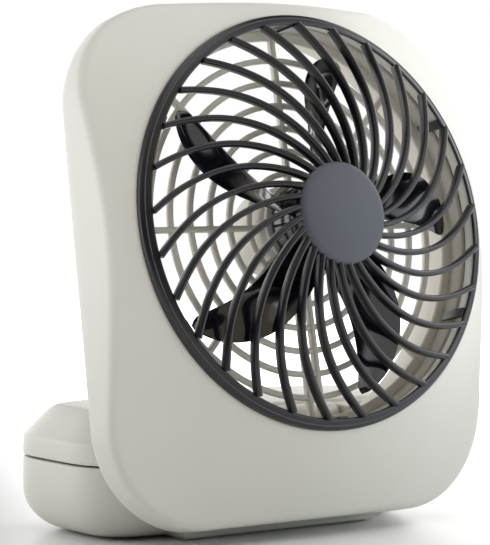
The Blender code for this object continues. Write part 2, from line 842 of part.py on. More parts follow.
def make_impeller(materials, fan):
    bore = SHAFT_RADIUS + GAP
    hub = turned(
        [
            (0.0, -ROTOR_HUB_FRONT),
            (ROTOR_HUB_RADIUS - 3.0 * MM, -ROTOR_HUB_FRONT),
            (ROTOR_HUB_RADIUS, -ROTOR_HUB_FRONT + 2.0 * MM),
            (ROTOR_HUB_RADIUS, ROTOR_HUB_BACK),
            (bore, ROTOR_HUB_BACK),
            (bore, -SHAFT_FRONT - GAP),
            (0.0, -SHAFT_FRONT - GAP),
        ],
        40,
    )
    blades = joined([make_blade(2 * math.pi * i / BLADE_COUNT) for i in range(BLADE_COUNT)])
    return finish(combined(hub, [("UNION", blades)]), "impeller", materials["impeller"], fan)


def make_motor_leads(materials, fan):
    """Two leads from the motor terminals, down the wire channel and to the hinge ear."""
    behind = GRILLE_DEPTH + GRILLE_BAR_DEPTH
    radius = 0.4 * MM
    terminal = MOTOR_CAN_FRONT + MOTOR_CAN_LENGTH + GAP + END_BELL_THICKNESS + GAP
    for side, name, material in ((-1, "motor_lead_black", "black"), (1, "motor_lead_red", "red")):
        x = side * 0.62 * MM
        points = [
            (side * 5.0 * MM, terminal + 1.0 * MM, -1.8 * MM),
            (side * 3.4 * MM, terminal + 0.9 * MM, -5.4 * MM),
            (side * 1.3 * MM, CUP_BACK - 3.4 * MM, -CUP_RADIUS + 6.0 * MM),
            (x, CUP_BACK - 3.6 * MM, -CUP_RADIUS + 3.0 * MM),
            (x, CUP_BACK - 3.6 * MM, -CUP_RADIUS - 0.8 * MM),
            (x, behind + 6.5 * MM, -CUP_RADIUS - 2.2 * MM),
            (x, behind + 2.6 * MM, -CUP_RADIUS - 5.0 * MM),
            (x, behind + 2.4 * MM, -GRILLE_RING_OUTER / 2),
            (x, behind + 2.4 * MM, -OPENING_RADIUS + 3.0 * MM),
            (x, behind + 2.4 * MM, -OPENING_RADIUS - DUCT_WALL - 1.5 * MM),
            (x, behind + 5.0 * MM, -OPENING_RADIUS - DUCT_WALL - 5.0 * MM),
        ]
        wire(name, smooth_route(points, 2), radius, materials[material], fan)


# ---------------------------------------------------------------- base
def shell_floor():
    return FOOT_PROUD


def cell_z():
    """Height of the batteries' middle."""
    return shell_floor() + BASE_WALL + CELL_LIFT + CELL_RADIUS


def fillet_inset(z, radius):
    """How far a wall with a bottom rounding of this radius is inside its outline at height z."""
    lower = max(radius - z, 0.0)
    return radius - math.sqrt(radius**2 - lower**2)


def tongue_outline():
    """Side outline of the tongue that carries the hinge barrel: (y, z) from the front foot round."""
    front = -BASE_HALF_DEPTH
    axis_y = front + HINGE_BACK_OF_FRONT
    points = [(front, shell_floor())]
    for i in range(7):
        angle = math.radians(180 - 120 * i / 6)
        y = axis_y + HINGE_BARREL * math.cos(angle)
        points.append((y, HINGE_HEIGHT + HINGE_BARREL * math.sin(angle)))
    points.append((TONGUE_BACK, HINGE_HEIGHT - 1.0 * MM))
    points.append((TONGUE_BACK, shell_floor()))
    return points


def make_base_shell(materials, base):
    floor = shell_floor()
    top = BASE_SPLIT - GAP
    outer = []
    for share in (0.0, 0.12, 0.35, 0.65, 1.0):
        z = BASE_FILLET * share
        outer.append(base_outline(fillet_inset(z, BASE_FILLET), floor + z))
    outer.append(base_outline(0.0, top))
    inner = [base_outline(BASE_WALL, top)]
    inner_fillet = BASE_FILLET - BASE_WALL
    for share in (1.0, 0.65, 0.35, 0.12, 0.0):
        z = inner_fillet * share
        inner.append(base_outline(BASE_WALL + fillet_inset(z, inner_fillet), floor + BASE_WALL + z))
    shell = loft(outer + inner, capped=True)

    tongue = prism(tongue_outline(), -TONGUE_HALF_WIDTH, TONGUE_HALF_WIDTH)
    hollow = box(
        (-TONGUE_HALF_WIDTH + BASE_WALL, -BASE_HALF_DEPTH + BASE_WALL, floor + BASE_WALL),
        (TONGUE_HALF_WIDTH - BASE_WALL, TONGUE_BACK + 3.0 * MM, HINGE_HEIGHT - 2 * HINGE_BARREL),
    )
    axis_y = -BASE_HALF_DEPTH + HINGE_BACK_OF_FRONT
    cuts = []
    ear_gap = EAR_INNER - GAP - WASHER_THICKNESS - GAP
    for side in (-1, 1):
        near = side * ear_gap
        far = side * (EAR_INNER + EAR_WIDTH + GAP)
        cuts.append(
            box(
                (min(near, far), -2 * BASE_HALF_DEPTH, HINGE_HEIGHT - HINGE_BARREL - 2.0 * MM),
                (max(near, far), TONGUE_BACK + 1.0 * MM, BASE_TOP + 5.0 * MM),
            )
        )
    rod_half = TONGUE_HALF_WIDTH - 1.0 * MM
    rod_hole = cylinder((-rod_half, axis_y, HINGE_HEIGHT), (rod_half, axis_y, HINGE_HEIGHT), HINGE_ROD + GAP)

    posts = []
    post_holes = []
    for x in (-COVER_SCREW_X, COVER_SCREW_X):
        post_foot = (x, COVER_SCREW_Y, floor + 0.5 * BASE_WALL)
        posts.append(cylinder(post_foot, (x, COVER_SCREW_Y, top), SHELL_POST_RADIUS, 24))
        seat = (x, COVER_SCREW_Y, COVER_SCREW_SEAT)
        post_holes.append(cylinder((x, COVER_SCREW_Y, -1.0 * MM), seat, COVER_SCREW_HEAD + GAP, 24))
        post_holes.append(
            cylinder(
                (x, COVER_SCREW_Y, COVER_SCREW_SEAT - 1.0 * MM),
                (x, COVER_SCREW_Y, BASE_TOP),
                COVER_SCREW_SHANK + GAP,
                16,
            )
        )
    control_z = CONTROL_HEIGHT
    slot = box(
        (
            SWITCH_X - SWITCH_KNOB[0] / 2 - GAP,
            BASE_HALF_DEPTH - 3 * BASE_WALL,
            control_z - SWITCH_KNOB[2] / 2 - GAP,
        ),
        (
            SWITCH_X + SWITCH_KNOB[0] / 2 + SWITCH_TRAVEL + GAP,
            BASE_HALF_DEPTH + BASE_WALL,
            control_z + SWITCH_KNOB[2] / 2 + GAP,
        ),
    )
    jack_hole = cylinder(
        (JACK_X, BASE_HALF_DEPTH - 3 * BASE_WALL, control_z),
        (JACK_X, BASE_HALF_DEPTH + BASE_WALL, control_z),
        JACK_BODY[0] / 2 - 0.4 * MM,
    )
    feet = []
    for x, y in foot_places():
        feet.append(cylinder((x, y, floor - 2.0 * MM), (x, y, floor + FOOT_RECESS), FOOT_RADIUS + GAP))
    cradles = []
    for x in CRADLE_X:
        for middle in (-x, x):
            cradles.append(
                box(
                    (middle - CRADLE_WIDTH / 2, CELL_Y - 0.8 * CELL_RADIUS, floor + 0.5 * BASE_WALL),
                    (middle + CRADLE_WIDTH / 2, CELL_Y + 0.8 * CELL_RADIUS, cell_z() - 0.5 * CELL_RADIUS),
                )
            )
    cell_reach = CELL_LENGTH + 2 * CELL_NUB
    cell_ends = [(x, CELL_Y, cell_z()) for x in (-cell_reach, cell_reach)]
    cell_room = cylinder(*cell_ends, CELL_RADIUS + GAP, 36)
    steps = [
        ("UNION", tongue),
        ("DIFFERENCE", hollow),
        ("UNION", joined(cradles)),
        ("DIFFERENCE", cell_room),
        ("UNION", joined(posts)),
        ("DIFFERENCE", joined(post_holes[0::2])),
        ("DIFFERENCE", joined(post_holes[1::2])),
        ("DIFFERENCE", joined(cuts)),
        ("DIFFERENCE", rod_hole),
        ("DIFFERENCE", joined([slot, jack_hole])),
        ("DIFFERENCE", joined(feet)),
    ]
    return finish(combined(shell, steps), "base_shell", materials["housing"], base)


def foot_places():
    return [(x, y) for x in (-FOOT_X, FOOT_X) for y in (-FOOT_Y, FOOT_Y)]


def make_battery_cover(materials, base):
    bottom = BASE_SPLIT + GAP
    outer = [
        base_outline(0.0, bottom),
        base_outline(0.3 * MM, COVER_SHOULDER - 0.4 * MM),
        base_outline(0.8 * MM, COVER_SHOULDER + 0.4 * MM),
        base_outline(COVER_INSET - 1.0 * MM, BASE_TOP - 0.5 * MM),
        base_outline(COVER_INSET + 1.0 * MM, BASE_TOP),
    ]
    inner = [
        base_outline(COVER_INSET + 1.0 * MM, BASE_TOP - BASE_WALL),
        base_outline(BASE_WALL + 0.4 * MM, COVER_SHOULDER - 0.6 * BASE_WALL),
        base_outline(BASE_WALL, bottom),
    ]
    dome = loft(outer, capped=True)
    hollow = loft([base_outline(BASE_WALL, bottom - 1.0 * MM)] + inner[::-1], capped=True)
    notch = box(
        (-TONGUE_HALF_WIDTH - GAP, -2 * BASE_HALF_DEPTH, 0.0),
        (TONGUE_HALF_WIDTH + GAP, TONGUE_BACK + GAP, BASE_TOP + 5.0 * MM),
    )
    posts = []
    post_holes = []
    for x in (-COVER_SCREW_X, COVER_SCREW_X):
        post_top = (x, COVER_SCREW_Y, BASE_TOP - 0.5 * BASE_WALL)
        posts.append(cylinder((x, COVER_SCREW_Y, bottom), post_top, COVER_POST_RADIUS, 24))
        hole_top = (x, COVER_SCREW_Y, COVER_SCREW_TOP + 1.0 * MM)
        post_holes.append(
            cylinder((x, COVER_SCREW_Y, bottom - 1.0 * MM), hole_top, COVER_SCREW_SHANK + GAP, 16)
        )
    steps = [
        ("DIFFERENCE", hollow),
        ("DIFFERENCE", notch),
        ("UNION", joined(posts)),
        ("DIFFERENCE", joined(post_holes)),
    ]
    return finish(combined(dome, steps), "battery_cover", materials["housing"], base)


def make_cover_screws(materials, base):
    under = COVER_SCREW_SEAT - GAP
    for number, x in enumerate((-COVER_SCREW_X, COVER_SCREW_X), 1):
        head_bottom = (x, COVER_SCREW_Y, under - SCREW_HEAD_HEIGHT)
        head = cylinder(head_bottom, (x, COVER_SCREW_Y, under), COVER_SCREW_HEAD, 16)
        shank_bottom = (x, COVER_SCREW_Y, under - 0.5 * SCREW_HEAD_HEIGHT)
        shank = cylinder(shank_bottom, (x, COVER_SCREW_Y, COVER_SCREW_TOP), COVER_SCREW_SHANK, 12)
        screw = combined(head, [("UNION", shank)])
        finish(screw, f"cover_screw_{number}", materials["steel"], base)


def make_hinge_hardware(materials, base):
    axis_y = -BASE_HALF_DEPTH + HINGE_BACK_OF_FRONT
    reach = TONGUE_HALF_WIDTH - 1.0 * MM - GAP
    rod = cylinder((-reach, axis_y, HINGE_HEIGHT), (reach, axis_y, HINGE_HEIGHT), HINGE_ROD)
    finish(rod, "hinge_rod", materials["steel"], base)
    for side, name in ((-1, "hinge_washer_left"), (1, "hinge_washer_right")):
        outer = side * (EAR_INNER - GAP)
        inner = side * (EAR_INNER - GAP - WASHER_THICKNESS)
        radius = HINGE_BARREL - 0.4 * MM
        washer = cylinder((inner, axis_y, HINGE_HEIGHT), (outer, axis_y, HINGE_HEIGHT), radius)
        hole = cylinder((-0.1, axis_y, HINGE_HEIGHT), (0.1, axis_y, HINGE_HEIGHT), HINGE_ROD + GAP)
        finish(combined(washer, [("DIFFERENCE", hole)]), name, materials["steel"], base)


def make_batteries(materials, base):
    z = cell_z()
    total = 2 * (CELL_LENGTH + CELL_NUB)
    left_end = -total / 2
    for i, name in enumerate(("battery_left", "battery_right")):
        start = left_end + i * (CELL_LENGTH + CELL_NUB) + GAP * i
        body = cylinder((start, CELL_Y, z), (start + CELL_LENGTH, CELL_Y, z), CELL_RADIUS, 36)
        nub_end = start + CELL_LENGTH + CELL_NUB - GAP
        nub = cylinder((start + CELL_LENGTH - 1.0 * MM, CELL_Y, z), (nub_end, CELL_Y, z), 4.6 * MM, 24)
        finish(combined(body, [("UNION", nub)]), name, materials["cell"], base)
    half = CONTACT_SIZE / 2
    right = left_end + 2 * (CELL_LENGTH + CELL_NUB) + 2 * GAP
    plus = box((right, CELL_Y - half, z - half), (right + CONTACT_THICKNESS, CELL_Y + half, z + half))
    finish(plus, "contact_plate_positive", materials["brass"], base)
    spring_room = 3.4 * MM
    left = left_end - spring_room - GAP
    minus = box((left - CONTACT_THICKNESS, CELL_Y - half, z - half), (left, CELL_Y + half, z + half))
    finish(minus, "contact_plate_negative", materials["brass"], base)
    points = []
    count = SPRING_TURNS * 9
    for i in range(count + 1):
        share = i / count
        angle = 2 * math.pi * SPRING_TURNS * share
        radius = 6.5 * MM - 2.5 * MM * share
        x = left + GAP + SPRING_WIRE + (spring_room - GAP - 2 * SPRING_WIRE) * share
        points.append((x, CELL_Y + radius * math.cos(angle), z + radius * math.sin(angle)))
    wire("battery_spring", points, SPRING_WIRE, materials["steel"], base)


def make_switch(materials, base, slide):
    z = CONTROL_HEIGHT
    inside = wall_y(SWITCH_X + SWITCH_BODY[0] / 2) - BASE_WALL - 2.0 * MM
    middle = SWITCH_X + SWITCH_TRAVEL / 2
    half_x = SWITCH_BODY[0] / 2
    half_z = SWITCH_BODY[2] / 2
    body = box(
        (middle - half_x, inside - SWITCH_BODY[1] + 1.0 * MM, z - half_z),
        (middle + half_x, inside, z + half_z),
    )
    finish(body, "switch_body", materials["black"], base)
    knob = box(
        (-SWITCH_KNOB[0] / 2, inside + GAP, -SWITCH_KNOB[2] / 2),
        (SWITCH_KNOB[0] / 2, BASE_HALF_DEPTH + 1.0 * MM, SWITCH_KNOB[2] / 2),
    )
    finish(knob, "switch_slider", materials["graphite"], slide)


def make_jack(materials, base):
    z = CONTROL_HEIGHT
    face = wall_y(JACK_X) - 0.4 * MM
    back = face - JACK_BODY[1]
    radius = JACK_BODY[0] / 2 - 0.4 * MM - GAP
    body = cylinder((JACK_X, back, z), (JACK_X, face, z), radius, 32)
    bore = cylinder((JACK_X, back + 1.5 * MM, z), (JACK_X, face + 1.0 * MM, z), JACK_BORE)
    pin = cylinder((JACK_X, back + 1.0 * MM, z), (JACK_X, face - 1.0 * MM, z), JACK_PIN, 12)
    steps = [("DIFFERENCE", bore), ("UNION", pin)]
    finish(combined(body, steps), "dc_jack", materials["black"], base)


def make_feet(materials, base):
    for number, (x, y) in enumerate(foot_places(), 1):
        top = shell_floor() + FOOT_RECESS - GAP
        foot = cylinder((x, y, 0.0), (x, y, top), FOOT_RADIUS, 32)
        finish(foot, f"rubber_foot_{number}", materials["rubber"], base)


# ---------------------------------------------------------------- assembly
def build():
    clear_scene()
    link(bpy.data.objects.new("helpers_root", None), "helpers")
    bpy.data.collections["helpers"].hide_render = True
    materials = make_materials()

    base = empty("base_root", (0, BASE_Y, 0))
    axis_y = -BASE_HALF_DEPTH + HINGE_BACK_OF_FRONT
    head = empty("head_hinge", (0, axis_y, HINGE_HEIGHT), base, (-REST_TILT, 0, 0))
    fan = empty("fan_axis", (0, -HINGE_BEHIND, HINGE_BELOW), head)
    slide = empty("switch_slide", (SWITCH_X, 0, CONTROL_HEIGHT), base)

    make_front_housing(materials, fan)
    make_front_grille(materials, fan)
    make_hub_cap(materials, fan)
    make_rear_housing(materials, fan)
    make_rear_grille(materials, fan)
    make_motor_cup(materials, fan)
    make_housing_screws(materials, fan)
    make_motor(materials, fan)
    make_motor_retainer(materials, fan)
    make_impeller(materials, fan)
    make_motor_leads(materials, fan)
    make_base_shell(materials, base)
    make_battery_cover(materials, base)
    make_cover_screws(materials, base)
    make_hinge_hardware(materials, base)
    make_batteries(materials, base)
    make_switch(materials, base, slide)
    make_jack(materials, base)
    make_feet(materials, base)


build()
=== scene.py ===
"""The folding battery desk fan, finished for rendering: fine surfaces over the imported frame."""

import json
import math

import bmesh
import bpy
from mathutils import Matrix, Vector


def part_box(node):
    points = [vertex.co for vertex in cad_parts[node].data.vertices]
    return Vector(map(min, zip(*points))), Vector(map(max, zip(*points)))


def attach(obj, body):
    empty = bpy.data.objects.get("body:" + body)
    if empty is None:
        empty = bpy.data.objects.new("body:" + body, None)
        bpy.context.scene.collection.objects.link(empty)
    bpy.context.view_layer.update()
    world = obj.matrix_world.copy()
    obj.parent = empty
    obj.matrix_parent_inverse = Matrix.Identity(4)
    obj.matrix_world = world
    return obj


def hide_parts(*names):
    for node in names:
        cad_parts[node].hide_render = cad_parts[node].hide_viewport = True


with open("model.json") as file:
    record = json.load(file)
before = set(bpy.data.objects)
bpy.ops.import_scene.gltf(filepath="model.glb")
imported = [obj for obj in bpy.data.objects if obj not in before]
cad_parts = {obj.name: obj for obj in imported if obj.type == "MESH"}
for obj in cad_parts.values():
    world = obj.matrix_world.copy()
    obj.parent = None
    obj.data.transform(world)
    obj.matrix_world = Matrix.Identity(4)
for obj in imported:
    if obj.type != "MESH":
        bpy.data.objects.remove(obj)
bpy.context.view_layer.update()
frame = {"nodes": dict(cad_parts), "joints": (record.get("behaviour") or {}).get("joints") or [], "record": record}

MM = 0.001

# ---------------------------------------------------------------- sizes
# In millimetres, as in the CAD model
HEAD_HALF_WIDTH = 76.2
HEAD_TOP = 74.6
HEAD_BOTTOM = -95.2
HEAD_CORNER = 35.0
HEAD_DEPTH = 25.8
HEAD_TAPER = 0.045
HEAD_WALL = 2.2
FACE_FLAT_RADIUS = 69.0
FACE_SLOPE = 0.82
FACE_CURVE = 0.0085
SOFT_EDGE = 3.0
OPENING_RADIUS = 66.0

RING_OUTER = 68.5
RING_SIDE = 2.1
RING_HEIGHT = 3.85
RING_INNER = 64.8
RING_LIP = 0.8
COLLAR_RADIUS = 65.3
COLLAR_FRONT = -2.8
COLLAR_WALL = 1.8
TAB_COUNT = 6
TAB_DEPTH = 7.5
TAB_HALF_WIDTH = 1.6
TAB_THICKNESS = 0.9
RIB_COUNT = 29
RIB_WIDTH = 1.9
RIB_DEPTH = 3.2
RIB_HUB_HEIGHT = 14.4
RIB_RING_HEIGHT = 4.0
RIB_DOME_POWER = 1.2
RIB_TWIST = (0.636, 0.352, -0.737, 0.476)
HUB_PLATE_RADIUS = 16.4
HUB_PLATE_FRONT = 14.4
HUB_CAP_RADIUS = 16.8
HUB_CAP_THICKNESS = 2.3
HUB_CAP_DOME = 0.9

DUCT_FRONT = 4.4
DUCT_WALL = 1.8
REAR_WALL = 2.0
GRILLE_DEPTH = 10.4
GRILLE_THICKNESS = 2.0
GRILLE_RING_COUNT = 7
GRILLE_RING_OUTER = 63.9
GRILLE_RING_STEP = 7.64
SPOKE_COUNT = 8
SPOKE_WIDTH = 2.0
SPOKE_DEPTH = 2.6
WIRE_SPOKE = 4
WIRE_SPOKE_OFFSET = 2.2
BAR_SOFTNESS = 0.7
CUP_RADIUS = 14.6
CUP_FRONT = 8.0
CUP_BACK = 27.4
CUP_WALL = 1.7

LEADING_TURN = (-0.345, 0.800, -1.139, 0.970)
LEADING_HEIGHT = (9.1, 6.8, -18.6)
TRAILING_TURN = (0.368, -0.460, 0.891, -0.385)
TRAILING_HEIGHT = (-4.4, 12.8, -12.6)
BLADE_COUNT = 5
BLADE_CAMBER = 1.2
BLADE_TIP = 58.7
BLADE_TIP_START = 0.92
BLADE_THICKNESS = 1.4
BLADE_THINNING = 0.35
ROTOR_HUB_RADIUS = 13.4

BASE_HALF_WIDTH = 70.0
BASE_HALF_DEPTH = 33.0
BASE_ROUNDNESS = 4.5
BASE_WALL = 2.2
BASE_SPLIT = 25.0
SPLIT_HALF_GAP = 0.3
COVER_SHOULDER = 32.7
BASE_TOP = 42.0
COVER_INSET = 9.2
BASE_FILLET = 14.0
FOOT_PROUD = 0.4
TONGUE_HALF_WIDTH = 39.5
TONGUE_BACK = -20.0
HINGE_HEIGHT = 36.2
HINGE_BACK_OF_FRONT = 5.0
HINGE_BEHIND = 35.1
HINGE_BELOW = 61.2
HINGE_BARREL = 5.0
HINGE_BEVEL = 0.4
EAR_INNER = 25.8
EAR_WIDTH = 7.0
EAR_INNER_GAP = 1.2
EAR_OUTER_GAP = 0.3
CONTROL_HEIGHT = 14.0
JACK_X = -38.0
JACK_OUTER = 4.3
JACK_BORE = 2.8
JACK_PIN = 0.9
JACK_PROUD = 0.3
JACK_BORE_DEPTH = 7.0
JACK_LENGTH = 9.0
AXIS_HOLE = 0.3


def joint(name):
    """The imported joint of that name."""
    return next(item for item in frame["joints"] if item["name"] == name)


SPIN = joint("impeller_spin")
RING_CENTRE = Vector(SPIN["pos_m"])
LEAN = math.atan2(SPIN["axis"][2], -SPIN["axis"][1])
# From fan millimetres (x, depth behind the face, height) and base millimetres to the frame
FAN = Matrix.Translation(RING_CENTRE) @ Matrix.Rotation(-LEAN, 4, "X") @ Matrix.Scale(MM, 4)
BASE_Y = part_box("base_shell")[0].y + BASE_HALF_DEPTH * MM
BASE = Matrix.Translation((0, BASE_Y, 0)) @ Matrix.Scale(MM, 4)


# ---------------------------------------------------------------- materials
BLOTCH_SCALE = 28.0
WEAR_SCALE = 90.0
STREAK_SCALE = 220.0
GRAIN_DISTANCE = 0.0002
COAT_ROUGHNESS = 0.1
WHITE = (1.0, 1.0, 1.0, 1.0)


def new_material(name):
    """A node material, with its nodes, links and shader."""
    material = bpy.data.materials.new(name)
    material.use_nodes = True
    nodes = material.node_tree.nodes
    return material, nodes, material.node_tree.links, nodes["Principled BSDF"]


def noise(nodes, links, scale, detail, coordinates):
    """A noise texture in the object's own coordinates."""
    node = nodes.new("ShaderNodeTexNoise")
    node.inputs["Scale"].default_value = scale
    node.inputs["Detail"].default_value = detail
    links.new(coordinates.outputs["Object"], node.inputs["Vector"])
    return node


def ramp(nodes, links, source, low, high):
    """A colour between low and high, by the middle part of a noise."""
    node = nodes.new("ShaderNodeValToRGB")
    node.color_ramp.elements[0].position = 0.3
    node.color_ramp.elements[1].position = 0.7
    node.color_ramp.elements[0].color = (*low, 1.0)
    node.color_ramp.elements[1].color = (*high, 1.0)
    links.new(source, node.inputs["Fac"])
    return node


def vary_gloss(nodes, links, source, shader, low, high):
    """Roughness that goes from low to high with a noise."""
    gloss = nodes.new("ShaderNodeMapRange")
    gloss.inputs["To Min"].default_value = low
    gloss.inputs["To Max"].default_value = high
    links.new(source.outputs["Fac"], gloss.inputs["Value"])
    links.new(gloss.outputs["Result"], shader.inputs["Roughness"])


def plastic(name, colour, spread, roughness, grain_scale, grain_height, coat=0.0):
    """Moulded plastic: faint blotches in colour and gloss, and a fine moulded grain."""
    material, nodes, links, shader = new_material(name)
    coordinates = nodes.new("ShaderNodeTexCoord")
    blotches = noise(nodes, links, BLOTCH_SCALE, 4.0, coordinates)
    low = [channel * (1 - spread) for channel in colour]
    high = [channel * (1 + spread) for channel in colour]
    tint = ramp(nodes, links, blotches.outputs["Fac"], low, high)
    links.new(tint.outputs["Color"], shader.inputs["Base Color"])
    wear = noise(nodes, links, WEAR_SCALE, 3.0, coordinates)
    vary_gloss(nodes, links, wear, shader, roughness * 0.92, roughness * 1.08)
    grain = noise(nodes, links, grain_scale, 2.0, coordinates)
    bump = nodes.new("ShaderNodeBump")
    bump.inputs["Strength"].default_value = grain_height
    bump.inputs["Distance"].default_value = GRAIN_DISTANCE
    links.new(grain.outputs["Fac"], bump.inputs["Height"])
    links.new(bump.outputs["Normal"], shader.inputs["Normal"])
    shader.inputs["Coat Weight"].default_value = coat
    shader.inputs["Coat Roughness"].default_value = COAT_ROUGHNESS
    return material


def metal(name, colour, roughness):
    """Plain metal with a brushed unevenness."""
    material, nodes, links, shader = new_material(name)
    coordinates = nodes.new("ShaderNodeTexCoord")
    streaks = noise(nodes, links, STREAK_SCALE, 3.0, coordinates)
    low = [channel * 0.85 for channel in colour]
    tint = ramp(nodes, links, streaks.outputs["Fac"], low, colour)
    links.new(tint.outputs["Color"], shader.inputs["Base Color"])
    vary_gloss(nodes, links, streaks, shader, roughness * 0.8, roughness * 1.3)
    shader.inputs["Metallic"].default_value = 1.0
    return material


# Name, colour, spread of colour, roughness, scale and height of the grain, clear coat
HOUSING = plastic("housing_plastic", (0.665, 0.655, 0.60), 0.015, 0.42, 2400.0, 0.06)
REAR = plastic("rear_housing_plastic", (0.66, 0.63, 0.56), 0.015, 0.45, 2400.0, 0.06)
GRAPHITE = plastic("graphite_plastic", (0.006, 0.005, 0.008), 0.06, 0.30, 2600.0, 0.08)
DISC = plastic("hub_disc_plastic", (0.055, 0.055, 0.074), 0.05, 0.40, 2600.0, 0.16)
IMPELLER = plastic("impeller_plastic", (0.004, 0.004, 0.008), 0.10, 0.10, 600.0, 0.02, 0.4)
STEEL = metal("steel", (0.62, 0.62, 0.62), 0.30)
BRASS = metal("brass", (0.78, 0.62, 0.32), 0.32)
BLACK = plastic("black_plastic", (0.020, 0.020, 0.022), 0.06, 0.45, 1500.0, 0.10)
RUBBER = plastic("rubber", (0.030, 0.030, 0.030), 0.10, 0.85, 1200.0, 0.20)
CELL = plastic("cell_sleeve", (0.05, 0.07, 0.11), 0.05, 0.30, 900.0, 0.05)
RED = plastic("red_insulation", (0.50, 0.03, 0.02), 0.05, 0.45, 1500.0, 0.05)

SLOT_MATERIALS = {
    "housing": HOUSING,
    "graphite": GRAPHITE,
    "impeller": IMPELLER,
    "steel": STEEL,
    "brass": BRASS,
    "black": BLACK,
    "rubber": RUBBER,
    "cell": CELL,
    "red": RED,
}


def finish_cad_nodes():
    """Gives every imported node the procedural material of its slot."""
    for part in frame["record"]["subparts"]:
        mesh = frame["nodes"][part["node"]].data
        mesh.materials.clear()
        mesh.materials.append(SLOT_MATERIALS[part["material_slot"]])


# ---------------------------------------------------------------- mesh helpers
DEEP = Vector((0, 1, 0))


def piece(name, bm, matrix, material, body, nodes, sharp=40):
    """Turns a bmesh in millimetres into a finished piece that rides on a body."""
    bmesh.ops.transform(bm, matrix=matrix, verts=bm.verts)
    bmesh.ops.recalc_face_normals(bm, faces=bm.faces)
    mesh = bpy.data.meshes.new(name)
    bm.to_mesh(mesh)
    bm.free()
    mesh.materials.append(material)
    mesh.shade_smooth()
    mesh.set_sharp_from_angle(angle=math.radians(sharp))
    obj = bpy.data.objects.new(name, mesh)
    bpy.context.scene.collection.objects.link(obj)
    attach(obj, body)
    if nodes:
        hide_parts(*nodes)
    return obj


def skin(bm, rows, closed=False, caps=False):
    """Faces between rows of points, each row a closed ring.

    The last row can join the first, or both ends can be capped.
    """
    grid = [[bm.verts.new(point) for point in row] for row in rows]
    count = len(grid[0])
    pairs = list(zip(grid, grid[1:]))
    if closed:
        pairs.append((grid[-1], grid[0]))
    for lower, upper in pairs:
        for i in range(count):
            j = (i + 1) % count
            bm.faces.new((lower[i], lower[j], upper[j], upper[i]))
    if caps:
        bm.faces.new(grid[0])
        bm.faces.new(grid[-1])


def circles(profile, count):
    """A circle of points about the fan axis for each (radius, depth) of a profile."""
    angles = [2 * math.pi * i / count for i in range(count)]
    return [
        [(radius * math.sin(angle), depth, radius * math.cos(angle)) for angle in angles]
        for radius, depth in profile
    ]


def turned(bm, profile, count):
    """A closed profile of (radius, depth) turned about the fan axis."""
    skin(bm, circles(profile, count), closed=True)


def turned_solid(bm, profile, count=128):
    """As turned, for an open profile: its two ends are capped."""
    skin(bm, circles(profile, count), caps=True)


def arc_point(start, corner, end, t):
    """A point on the curve from start to end that is pulled towards the corner."""
    return start * (1 - t) ** 2 + corner * 2 * t * (1 - t) + end * t**2


def rounded_corners(points, radius, steps=3):
    """A closed outline of pairs with its corners replaced by curves."""
    result = []
    count = len(points)
    for i, pair in enumerate(points):
        corner = Vector(pair)
        before = Vector(points[i - 1]) - corner
        after = Vector(points[(i + 1) % count]) - corner
        reach = min(radius, before.length * 0.45, after.length * 0.45)
        start = corner + before.normalized() * reach
        end = corner + after.normalized() * reach
        for step in range(steps + 1):
            result.append(tuple(arc_point(start, corner, end, step / steps)))
    return result


def bar_section(width, depth, radius):
    """A rounded rectangle about the origin."""
    half_width = width / 2
    half_depth = depth / 2
    corners = [
        (-half_width, -half_depth),
        (half_width, -half_depth),
        (half_width, half_depth),
        (-half_width, half_depth),
    ]
    return rounded_corners(corners, radius)


def bar(bm, start, end, width, depth, radius):
    """A straight bar with rounded long edges, its depth along the fan axis."""
    side = (end - start).normalized().cross(DEEP).normalized()
    section = bar_section(width, depth, radius)
    rows = [[place + side * u + DEEP * v for u, v in section] for place in (start, end)]
    skin(bm, rows, caps=True)


def directions(angle):
    """Unit vectors out from the fan axis and across, at an angle from the top."""
    sine = math.sin(angle)
    cosine = math.cos(angle)
    return Vector((sine, 0, cosine)), Vector((cosine, 0, -sine))


def add_barrel(bm, start, end, radius, bevel, y, z, count=48):
    """A round bar along X through (y, z), with bevelled ends."""
    outline = [
        (start, radius - bevel),
        (start + bevel, radius),
        (end - bevel, radius),
        (end, radius - bevel),
    ]
    angles = [2 * math.pi * i / count for i in range(count)]
    rows = [
        [(x, y + r * math.cos(angle), z + r * math.sin(angle)) for angle in angles]
        for x, r in outline
    ]
    skin(bm, rows, caps=True)


# ---------------------------------------------------------------- shared shapes
def powers(factors, share):
    """A polynomial in share, its constant factor first."""
    return sum(factor * share**power for power, factor in enumerate(factors))


def face_drop(radius):
    """How far the face has fallen back at a radius, nothing inside its flat middle."""
    outside = max(radius - FACE_FLAT_RADIUS, 0.0)
    return FACE_SLOPE * outside - FACE_CURVE * outside**2


def face_slope(radius):
    """The fall of the face for each millimetre of radius."""
    return FACE_SLOPE - 2 * FACE_CURVE * max(radius - FACE_FLAT_RADIUS, 0.0)


def rear_depth(z):
    """The depth of the head at a height: it is thinner at the top."""
    return HEAD_DEPTH - HEAD_TAPER * z


def outline_distance(x, z, inset):
    """The distance outside the head's rounded outline, moved in by inset."""
    middle = (HEAD_TOP + HEAD_BOTTOM) / 2
    half = (HEAD_TOP - HEAD_BOTTOM) / 2
    across = abs(x) - (HEAD_HALF_WIDTH - HEAD_CORNER)
    up = abs(z - middle) - (half - HEAD_CORNER)
    outside = math.hypot(max(across, 0.0), max(up, 0.0))
    return outside + min(max(across, up), 0.0) - HEAD_CORNER + inset


def outline_radius(angle, inset=0.0):
    """The radius at which a line from the fan axis meets that outline."""
    low = 0.0
    high = 2 * HEAD_HALF_WIDTH
    for _ in range(40):
        middle = (low + high) / 2
        if outline_distance(middle * math.sin(angle), middle * math.cos(angle), inset) > 0:
            high = middle
        else:
            low = middle
    return low


